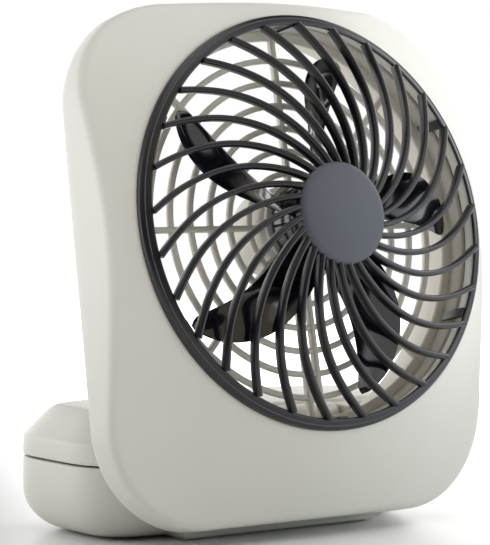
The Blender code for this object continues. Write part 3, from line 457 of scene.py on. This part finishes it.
def around(section, count=288):
    """Rows for skin from section(angle), which lists (radius, depth)."""
    angles = [2 * math.pi * i / count for i in range(count)]
    columns = [section(angle) for angle in angles]
    return [
        [
            (column[k][0] * math.sin(angle), column[k][1], column[k][0] * math.cos(angle))
            for angle, column in zip(angles, columns)
        ]
        for k in range(len(columns[0]))
    ]


# ---------------------------------------------------------------- head
def make_front_housing():
    """The front shell: its sloping face, its mouth with the collar, its sides and its inside."""
    def section(angle):
        edge = outline_radius(angle)
        inner = outline_radius(angle, HEAD_WALL)
        back = rear_depth(edge * math.cos(angle))
        rows = [
            (OPENING_RADIUS, HEAD_WALL),
            (OPENING_RADIUS, 1.0),
            (COLLAR_RADIUS, -1.0),
            (COLLAR_RADIUS, COLLAR_FRONT + 0.3),
            (COLLAR_RADIUS + 0.3, COLLAR_FRONT),
            (COLLAR_RADIUS + COLLAR_WALL - 0.3, COLLAR_FRONT),
            (COLLAR_RADIUS + COLLAR_WALL, COLLAR_FRONT + 0.3),
            (COLLAR_RADIUS + COLLAR_WALL, 0.0),
            (FACE_FLAT_RADIUS - 0.3, 0.0),
        ]
        corner = Vector((edge, face_drop(edge)))
        inward = Vector((-1.0, -face_slope(edge))).normalized() * SOFT_EDGE
        soft_start = corner + inward
        soft_end = corner + Vector((0.0, SOFT_EDGE))
        slope_start = FACE_FLAT_RADIUS + 0.2
        steps = 14
        for step in range(steps):
            radius = slope_start + (soft_start.x - slope_start) * step / steps
            rows.append((radius, face_drop(radius)))
        soft_start.y = face_drop(soft_start.x)
        rows += [tuple(arc_point(soft_start, corner, soft_end, step / 8)) for step in range(9)]
        for share in (0.35, 0.7):
            rows.append((edge, soft_end.y + (back - soft_end.y) * share))
        rows.append((edge, back - 0.5))
        rows.append((edge - 0.15, back - 0.15))
        rows.append((edge - 0.5, back))
        rows.append((inner + 0.2, back))
        rows.append((inner, back - 0.3))
        rows.append((inner, min(face_drop(inner) + 3.4, back - 1.0)))
        rows.append((OPENING_RADIUS + 4.0, HEAD_WALL + face_drop(OPENING_RADIUS + 4.0)))
        return rows

    bm = bmesh.new()
    skin(bm, around(section), closed=True)
    piece("front_housing_skin", bm, FAN, HOUSING, "head", ["front_housing"], 50)


def rib_height(radius):
    """How far a rib's middle stands in front of the face."""
    share = max((radius - HUB_CAP_RADIUS) / (RING_INNER - HUB_CAP_RADIUS), 0.0)
    return RIB_RING_HEIGHT + (RIB_HUB_HEIGHT - RIB_RING_HEIGHT) * (1 - share**RIB_DOME_POWER)


def rib_turn(radius):
    """How far a rib has turned about the axis, from its end at the ring."""
    share = (radius - HUB_CAP_RADIUS) / (RING_INNER - HUB_CAP_RADIUS)
    return sum(turn * (1 - share) ** (power + 1) for power, turn in enumerate(RIB_TWIST))


def add_rib(bm, start_angle, stations=44):
    """One swirl rib from hub to ring: a rounded front, straight sides and a flat back."""
    first = HUB_CAP_RADIUS - 0.6
    last = RING_INNER + 0.2
    middles = []
    for i in range(stations + 1):
        radius = first + (last - first) * i / stations
        out, _ = directions(start_angle + rib_turn(radius))
        middles.append(out * radius - DEEP * rib_height(radius))
    half = RIB_WIDTH / 2
    front = -RIB_DEPTH / 2
    back = RIB_DEPTH / 2
    section = [
        (-half * 0.82, back),
        (-half, back * 0.6),
        (-half, front + half * 0.9),
        (-half * 0.88, front + half * 0.45),
        (-half * 0.55, front + half * 0.12),
        (0.0, front),
        (half * 0.55, front + half * 0.12),
        (half * 0.88, front + half * 0.45),
        (half, front + half * 0.9),
        (half, back * 0.6),
        (half * 0.82, back),
    ]
    rows = []
    for i, middle in enumerate(middles):
        ahead = (middles[min(i + 1, stations)] - middles[max(i - 1, 0)]).normalized()
        side = ahead.cross(DEEP).normalized()
        deep = side.cross(ahead).normalized()
        if deep.y < 0:
            deep = -deep
        rows.append([middle + side * u + deep * v for u, v in section])
    skin(bm, rows, caps=True)


def make_front_grille():
    """The dark ring with its lip, the swirl ribs, the hub plate and the snap tabs."""
    bm = bmesh.new()
    lip_back = -RING_HEIGHT + RING_LIP
    profile = [
        (RING_OUTER, -0.3),
        (RING_OUTER, -RING_SIDE + 0.35),
        (RING_OUTER - 0.12, -RING_SIDE - 0.05),
        (RING_OUTER - 0.45, -RING_SIDE - 0.3),
        (RING_INNER + 0.75, -RING_HEIGHT + 0.02),
        (RING_INNER + 0.4, -RING_HEIGHT),
        (RING_INNER + 0.12, -RING_HEIGHT + 0.15),
        (RING_INNER, -RING_HEIGHT + 0.4),
        (RING_INNER + 0.05, lip_back),
        (COLLAR_RADIUS + COLLAR_WALL + 0.3, lip_back),
        (COLLAR_RADIUS + COLLAR_WALL + 0.3, -0.3),
    ]
    turned(bm, profile, 288)
    for i in range(RIB_COUNT):
        add_rib(bm, 2 * math.pi * i / RIB_COUNT)
    plate = [
        (HUB_PLATE_RADIUS - 3.0, -HUB_PLATE_FRONT + 2.0),
        (HUB_PLATE_RADIUS, -HUB_PLATE_FRONT + 2.0),
        (HUB_PLATE_RADIUS, -HUB_PLATE_FRONT),
        (HUB_PLATE_RADIUS - 3.0, -HUB_PLATE_FRONT),
    ]
    turned_solid(bm, plate)
    for i in range(TAB_COUNT):
        out, across = directions(2 * math.pi * i / TAB_COUNT)
        middle = out * (RING_INNER - 0.2) + DEEP * (TAB_DEPTH + lip_back) / 2
        half = across * TAB_HALF_WIDTH
        bar(bm, middle - half, middle + half, TAB_THICKNESS, TAB_DEPTH - lip_back, 0.2)
    piece("front_grille_skin", bm, FAN, GRAPHITE, "head", ["front_grille"], 45)


def make_hub_cap():
    """The plain disc in the middle, slightly domed."""
    bm = bmesh.new()
    back = -HUB_PLATE_FRONT - 0.3
    front = back - HUB_CAP_THICKNESS
    rim = front + HUB_CAP_DOME
    profile = []
    for share in (0.02, 0.15, 0.3, 0.45, 0.6, 0.75, 0.85, 0.93):
        profile.append((HUB_CAP_RADIUS * share, front + HUB_CAP_DOME * share**2))
    profile += [
        (HUB_CAP_RADIUS - 0.75, rim),
        (HUB_CAP_RADIUS - 0.3, rim + 0.22),
        (HUB_CAP_RADIUS - 0.06, rim + 0.5),
        (HUB_CAP_RADIUS, rim + 0.8),
        (HUB_CAP_RADIUS, back),
        (AXIS_HOLE, back),
    ]
    turned_solid(bm, profile, 160)
    piece("hub_cap_disc", bm, FAN, DISC, "head", ["hub_cap"], 60)


def make_ear_outline():
    """The outline (depth, height) of a hinge ear."""
    top = -HINGE_BELOW + 2.5
    bottom = -HINGE_BELOW - 8.0
    outline = [(rear_depth(top) - 1.5, top)]
    for i in range(17):
        angle = math.radians(80 - 160 * i / 16)
        depth = HINGE_BEHIND + HINGE_BARREL * math.cos(angle)
        outline.append((depth, -HINGE_BELOW + HINGE_BARREL * math.sin(angle)))
    outline.append((rear_depth(bottom) - 1.5, bottom))
    return outline


def slab(bm, outline, start, end, bevel):
    """A plate from start to end along X with the outline (y, z) and softened rims."""
    middle = (
        sum(y for y, _ in outline) / len(outline),
        sum(z for _, z in outline) / len(outline),
    )

    def row(x, inset):
        points = []
        for y, z in outline:
            away = Vector((y - middle[0], z - middle[1]))
            away = away * (1 - inset / away.length)
            points.append((x, middle[0] + away.x, middle[1] + away.y))
        return points

    rows = [row(start, bevel), row(start + bevel, 0.0), row(end - bevel, 0.0), row(end, bevel)]
    skin(bm, rows, caps=True)


def rear_shell_section(angle):
    """The rear shell's (radius, depth) outline, from the duct out to its edge and back."""
    edge = outline_radius(angle, HEAD_WALL + 0.3)
    duct = OPENING_RADIUS + DUCT_WALL
    rise = math.cos(angle)
    mouth_back = rear_depth(OPENING_RADIUS * rise)
    edge_back = rear_depth(edge * rise)
    return [
        (OPENING_RADIUS, DUCT_FRONT + 0.3),
        (OPENING_RADIUS, mouth_back - 0.6),
        (OPENING_RADIUS + 0.2, mouth_back - 0.2),
        (OPENING_RADIUS + 0.6, mouth_back),
        (edge - 0.5, edge_back),
        (edge - 0.15, edge_back - 0.15),
        (edge, edge_back - 0.5),
        (edge, edge_back - REAR_WALL),
        (duct, rear_depth(duct * rise) - REAR_WALL),
        (duct, DUCT_FRONT + 0.3),
        (duct - 0.3, DUCT_FRONT),
        (OPENING_RADIUS + 0.3, DUCT_FRONT),
    ]


def add_rear_grille(bm):
    """Flat rings on spokes, the lowest spoke split to leave room for the wires."""
    half = GRILLE_THICKNESS / 2
    middle = GRILLE_DEPTH + half
    back = GRILLE_DEPTH + GRILLE_THICKNESS
    rim = [
        (OPENING_RADIUS - 0.1, GRILLE_DEPTH),
        (GRILLE_RING_OUTER - half + 0.3, GRILLE_DEPTH),
        (GRILLE_RING_OUTER - half, GRILLE_DEPTH + 0.4),
        (GRILLE_RING_OUTER - half, back - 0.4),
        (GRILLE_RING_OUTER - half + 0.3, back),
        (OPENING_RADIUS - 0.1, back),
    ]
    turned(bm, rim, 160)
    section = bar_section(GRILLE_THICKNESS, GRILLE_THICKNESS, BAR_SOFTNESS)
    for k in range(1, GRILLE_RING_COUNT):
        radius = GRILLE_RING_OUTER - k * GRILLE_RING_STEP
        turned(bm, [(radius + u, middle + v) for u, v in section], 160)
    for i in range(SPOKE_COUNT):
        out, across = directions(2 * math.pi * i / SPOKE_COUNT)
        offsets = [-WIRE_SPOKE_OFFSET, WIRE_SPOKE_OFFSET] if i == WIRE_SPOKE else [0.0]
        for offset in offsets:
            line = across * offset + DEEP * middle
            start = out * (CUP_RADIUS - 0.6) + line
            end = out * (OPENING_RADIUS + 0.4) + line
            bar(bm, start, end, SPOKE_WIDTH, SPOKE_DEPTH, BAR_SOFTNESS)


def add_motor_cup(bm):
    """The cup behind the motor, open at the front."""
    inside = CUP_RADIUS - CUP_WALL
    cup = [
        (inside, CUP_FRONT),
        (CUP_RADIUS - 0.2, CUP_FRONT),
        (CUP_RADIUS, CUP_FRONT + 0.2),
        (CUP_RADIUS, CUP_BACK - 1.6),
        (CUP_RADIUS - 0.3, CUP_BACK - 0.7),
        (CUP_RADIUS - 0.9, CUP_BACK - 0.15),
        (CUP_RADIUS - 1.6, CUP_BACK),
        (AXIS_HOLE, CUP_BACK),
        (AXIS_HOLE, CUP_BACK - CUP_WALL),
        (inside, CUP_BACK - CUP_WALL),
    ]
    turned(bm, cup, 128)


def make_rear_housing():
    """The rear shell with its duct, grille, motor cup and hinge ears."""
    bm = bmesh.new()
    skin(bm, around(rear_shell_section), closed=True)
    add_rear_grille(bm)
    add_motor_cup(bm)
    outline = make_ear_outline()
    slab(bm, outline, EAR_INNER, EAR_INNER + EAR_WIDTH, 0.6)
    slab(bm, outline, -EAR_INNER - EAR_WIDTH, -EAR_INNER, 0.6)
    stood_for = ["rear_housing", "rear_grille", "motor_cup"]
    piece("rear_housing_skin", bm, FAN, REAR, "head", stood_for, 45)


# ---------------------------------------------------------------- impeller
def add_blade(bm, start_angle):
    """One sickle blade: closed sections from hub to rounded tip."""
    stations = 40
    across = 14
    root = ROTOR_HUB_RADIUS - 1.2
    rows = []
    for i in range(stations + 1):
        share = i / stations
        radius = root + (BLADE_TIP - root) * share
        lead = powers(LEADING_TURN, share)
        trail = powers(TRAILING_TURN, share)
        lead_height = powers(LEADING_HEIGHT, share)
        trail_height = powers(TRAILING_HEIGHT, share)
        closing = max(share - BLADE_TIP_START, 0.0) / (1 - BLADE_TIP_START)
        narrow = math.sqrt(max(1 - (0.92 * closing) ** 2, 0.0))
        thick = BLADE_THICKNESS * (1 - BLADE_THINNING * share) * (1 - 0.5 * closing**3)
        points = []
        for j in range(across + 1):
            part = 0.5 + (j / across - 0.5) * narrow
            turn = (1 - part) * trail + part * lead
            height = (1 - part) * trail_height + part * lead_height
            height -= 4 * BLADE_CAMBER * part * (1 - part)
            away, _ = directions(start_angle + turn)
            points.append(away * radius - DEEP * height)
        front = []
        back = []
        for j, point in enumerate(points):
            ahead = points[min(j + 1, across)] - points[max(j - 1, 0)]
            out = Vector((point.x, 0, point.z)).normalized()
            normal = ahead.cross(out).normalized()
            if normal.y > 0:
                normal = -normal
            edge = 1 - abs(2 * j / across - 1) ** 6
            half = thick / 2 * max(edge, 0.22)
            front.append(point + normal * half)
            back.append(point - normal * half)
        rows.append(front + back[::-1])
    skin(bm, rows, caps=True)


def make_impeller():
    """The hub and its sickle blades."""
    bm = bmesh.new()
    hub = [
        (AXIS_HOLE, -9.8),
        (ROTOR_HUB_RADIUS - 4.0, -9.6),
        (ROTOR_HUB_RADIUS - 1.6, -8.9),
        (ROTOR_HUB_RADIUS - 0.4, -7.6),
        (ROTOR_HUB_RADIUS, -6.0),
        (ROTOR_HUB_RADIUS, 5.0),
        (ROTOR_HUB_RADIUS - 1.2, 5.0),
        (AXIS_HOLE, 4.6),
    ]
    turned_solid(bm, hub)
    for i in range(BLADE_COUNT):
        add_blade(bm, 2 * math.pi * i / BLADE_COUNT)
    piece("impeller_blades", bm, FAN, IMPELLER, "rotor", ["impeller"], 50)


# ---------------------------------------------------------------- base
def base_outline(inset, z, count=160):
    """The base's rounded outline at a height, moved in by inset."""
    power = BASE_ROUNDNESS
    points = []
    for i in range(count):
        angle = 2 * math.pi * i / count
        cosine = math.cos(angle)
        sine = math.sin(angle)
        share = (abs(cosine) ** power + abs(sine) ** power) ** (-1 / power)
        x = (BASE_HALF_WIDTH - inset) * share * cosine
        y = (BASE_HALF_DEPTH - inset) * share * sine
        points.append((x, y, z))
    return points


def fillet_inset(z, radius):
    """How far a fillet of that radius is in from the wall, at a height above its start."""
    lower = max(radius - z, 0.0)
    return radius - math.sqrt(radius**2 - lower**2)


def make_base_shell():
    """The lower half of the base, hollow, with the tongue and the hinge barrels in front."""
    bm = bmesh.new()
    rows = []
    for step in range(13):
        share = 1 - math.cos(math.pi / 2 * step / 12)
        z = BASE_FILLET * share
        rows.append(base_outline(fillet_inset(z, BASE_FILLET), FOOT_PROUD + z))
    rim = BASE_SPLIT - SPLIT_HALF_GAP
    rows += [
        base_outline(0.0, rim - 1.0),
        base_outline(0.05, rim - 0.45),
        base_outline(0.35, rim - 0.1),
        base_outline(0.8, rim),
        base_outline(BASE_WALL, rim),
        base_outline(BASE_WALL, BASE_FILLET + FOOT_PROUD),
    ]
    inner = BASE_FILLET - BASE_WALL
    for step in range(8):
        share = 1 - math.cos(math.pi / 2 * (7 - step) / 7)
        z = inner * share
        rows.append(base_outline(BASE_WALL + fillet_inset(z, inner), FOOT_PROUD + BASE_WALL + z))
    skin(bm, rows, caps=True)
    front = -BASE_HALF_DEPTH
    wall = [
        (front, FOOT_PROUD),
        (front, HINGE_HEIGHT - 2.0),
        (front + 3.0, HINGE_HEIGHT - 1.0),
        (TONGUE_BACK, HINGE_HEIGHT - 5.0),
        (TONGUE_BACK, FOOT_PROUD),
    ]
    slab(bm, rounded_corners(wall, 1.2), -TONGUE_HALF_WIDTH, TONGUE_HALF_WIDTH, 1.0)
    near = EAR_INNER - EAR_INNER_GAP
    far = EAR_INNER + EAR_WIDTH + EAR_OUTER_GAP
    axis_y = front + HINGE_BACK_OF_FRONT
    for start, end in ((-near, near), (far, TONGUE_HALF_WIDTH), (-TONGUE_HALF_WIDTH, -far)):
        add_barrel(bm, start, end, HINGE_BARREL, HINGE_BEVEL, axis_y, HINGE_HEIGHT)
    piece("base_shell_skin", bm, BASE, HOUSING, "base", ["base_shell"], 45)


def make_battery_cover():
    """The upper half of the base: a short wall, a sloping shoulder and a flat top."""
    bm = bmesh.new()
    bottom = BASE_SPLIT + SPLIT_HALF_GAP
    rows = [
        base_outline(BASE_WALL, bottom),
        base_outline(0.7, bottom),
        base_outline(0.3, bottom + 0.1),
        base_outline(0.05, bottom + 0.4),
        base_outline(0.0, bottom + 0.9),
        base_outline(0.05, COVER_SHOULDER - 2.0),
        base_outline(0.2, COVER_SHOULDER - 0.9),
        base_outline(0.6, COVER_SHOULDER - 0.2),
        base_outline(1.2, COVER_SHOULDER + 0.3),
    ]
    for step in range(1, 7):
        share = step / 7
        rows.append(base_outline(1.2 + 6.4 * share, COVER_SHOULDER + 0.3 + 7.8 * share))
    rows += [
        base_outline(COVER_INSET - 1.0, BASE_TOP - 1.0),
        base_outline(COVER_INSET, BASE_TOP - 0.45),
        base_outline(COVER_INSET + 1.2, BASE_TOP - 0.1),
        base_outline(COVER_INSET + 2.6, BASE_TOP),
    ]
    skin(bm, rows, caps=True)
    piece("battery_cover_skin", bm, BASE, HOUSING, "base", ["battery_cover"], 45)


def make_jack():
    """The inlet's barrel, a hair proud of the rear wall, with its bore and centre pin."""
    share = 1 - (abs(JACK_X) / BASE_HALF_WIDTH) ** BASE_ROUNDNESS
    face = BASE_HALF_DEPTH * share ** (1 / BASE_ROUNDNESS) + JACK_PROUD
    bm = bmesh.new()
    profile = [
        (0.2, face - 1.4),
        (JACK_PIN - 0.2, face - 1.4),
        (JACK_PIN, face - 1.6),
        (JACK_PIN, face - JACK_BORE_DEPTH),
        (JACK_BORE, face - JACK_BORE_DEPTH),
        (JACK_BORE, face - 0.5),
        (JACK_BORE + 0.4, face),
        (JACK_OUTER - 0.3, face),
        (JACK_OUTER, face - 0.3),
        (JACK_OUTER, face - JACK_LENGTH),
        (0.2, face - JACK_LENGTH),
    ]
    turned_solid(bm, profile, 64)
    place = BASE @ Matrix.Translation((JACK_X, 0, CONTROL_HEIGHT))
    piece("dc_jack_barrel", bm, place, BLACK, "base", ["dc_jack"], 45)


# ---------------------------------------------------------------- stage, in metres
FLOOR_COLOUR = (0.90, 0.90, 0.90, 1.0)
FLOOR_ROUGHNESS = 0.3
FLOOR_HALF_WIDTH = 6.0
# Painted glow of the floor: the distances in metres from its middle where its emission starts and where it reaches
# full strength
GLOW_START = 0.08
GLOW_END = 0.70


def make_floor():
    """A pale floor that melts into the white backdrop away from the object: it glows with painted light, none near
    the object and more further out, and that glow also lights the object from below.
    """
    material, nodes, links, shader = new_material("studio_floor")
    shader.inputs["Base Color"].default_value = FLOOR_COLOUR
    shader.inputs["Roughness"].default_value = FLOOR_ROUGHNESS
    coordinates = nodes.new("ShaderNodeTexCoord")
    distance = nodes.new("ShaderNodeVectorMath")
    distance.operation = "LENGTH"
    links.new(coordinates.outputs["Object"], distance.inputs[0])
    # Painted light: the floor's emission grows with distance from its middle, so it glows brighter away from the
    # object
    glow = nodes.new("ShaderNodeMapRange")
    glow.inputs["From Min"].default_value = GLOW_START
    glow.inputs["From Max"].default_value = GLOW_END
    links.new(distance.outputs["Value"], glow.inputs["Value"])
    links.new(glow.outputs["Result"], shader.inputs["Emission Strength"])
    shader.inputs["Emission Color"].default_value = WHITE
    mesh = bpy.data.meshes.new("floor")
    reach = FLOOR_HALF_WIDTH
    corners = [(-reach, -reach, 0), (reach, -reach, 0), (reach, reach, 0), (-reach, reach, 0)]
    mesh.from_pydata(corners, [], [(0, 1, 2, 3)])
    mesh.materials.append(material)
    floor = bpy.data.objects.new("floor", mesh)
    bpy.context.scene.collection.objects.link(floor)


# Soft boxes on a sphere round the object: azimuth from the front, elevation, power in watts, tint
LIGHT_DISTANCE = 1.2
LIGHT_SIZE = 0.8
LIGHT_TARGET = Vector((0.0, 0.0, 0.09))
AMBIENT = 0.03
NEUTRAL = (1.0, 1.0, 1.0)
WARM = (1.0, 0.86, 0.62)
COOL = (0.80, 0.92, 1.0)
SOFT_BOXES = {
    "back_left": (-135, 10, 5.4, NEUTRAL),
    "back": (180, 10, 4.4, NEUTRAL),
    "back_right": (135, 15, 3.2, NEUTRAL),
    "right": (90, 25, 6.2, NEUTRAL),
    "front_right_low": (45, 10, 4.6, COOL),
    "front_right_high": (45, 40, 1.8, NEUTRAL),
    "front_high": (0, 40, 1.3, WARM),
    "front_left_high": (-45, 40, 0.8, NEUTRAL),
    "left_high": (-90, 40, 2.6, NEUTRAL),
    "top_front": (0, 75, 3.6, NEUTRAL),
    "top_back": (180, 75, 2.4, NEUTRAL),
}


def soft_box(name, azimuth, elevation, power, tint):
    """A square light that faces the target."""
    light = bpy.data.lights.new(name, "AREA")
    light.size = LIGHT_SIZE
    light.energy = power
    light.color = tint
    turn = math.radians(azimuth)
    rise = math.radians(elevation)
    level = math.cos(rise)
    away = Vector((math.sin(turn) * level, -math.cos(turn) * level, math.sin(rise)))
    obj = bpy.data.objects.new(name, light)
    obj.location = LIGHT_TARGET + away * LIGHT_DISTANCE
    obj.rotation_euler = away.to_track_quat("Z", "Y").to_euler()
    bpy.context.scene.collection.objects.link(obj)


def make_lights():
    """Soft boxes round the object, and a plain white backdrop that gives little light itself."""
    world = bpy.data.worlds.new("studio")
    world.use_nodes = True
    nodes = world.node_tree.nodes
    background = nodes["Background"]
    background.inputs["Color"].default_value = WHITE
    path = nodes.new("ShaderNodeLightPath")
    strength = nodes.new("ShaderNodeMapRange")
    strength.inputs["To Min"].default_value = AMBIENT
    strength.inputs["To Max"].default_value = 1.0
    world.node_tree.links.new(path.outputs["Is Camera Ray"], strength.inputs["Value"])
    world.node_tree.links.new(strength.outputs["Result"], background.inputs["Strength"])
    bpy.context.scene.world = world
    bpy.context.scene.view_settings.view_transform = "Standard"
    for name, values in SOFT_BOXES.items():
        soft_box(name, *values)


# Sensor, lens and place (from the centre of the ring) in millimetres, clipping in metres
CAMERA_SENSOR = 36.0
CAMERA_LENS = 158.14
CAMERA_CLIP = (0.05, 50.0)
CAMERA_PLACE = Vector((-473.9, -618.0, 18.5))
CAMERA_DOWN = math.radians(2.58)
CAMERA_TURN = math.radians(-35.83)


def make_camera():
    """The camera, from the front and the left, a little above the middle of the fan."""
    camera = bpy.data.cameras.new("camera")
    camera.sensor_width = CAMERA_SENSOR
    camera.lens = CAMERA_LENS
    camera.clip_start, camera.clip_end = CAMERA_CLIP
    obj = bpy.data.objects.new("camera", camera)
    obj.location = RING_CENTRE + CAMERA_PLACE * MM
    obj.rotation_euler = (math.pi / 2 - CAMERA_DOWN, 0.0, CAMERA_TURN)
    bpy.context.scene.collection.objects.link(obj)
    bpy.context.scene.camera = obj


finish_cad_nodes()
make_front_housing()
make_front_grille()
make_hub_cap()
make_rear_housing()
make_impeller()
make_base_shell()
make_battery_cover()
make_jack()
make_floor()
make_lights()
make_camera()
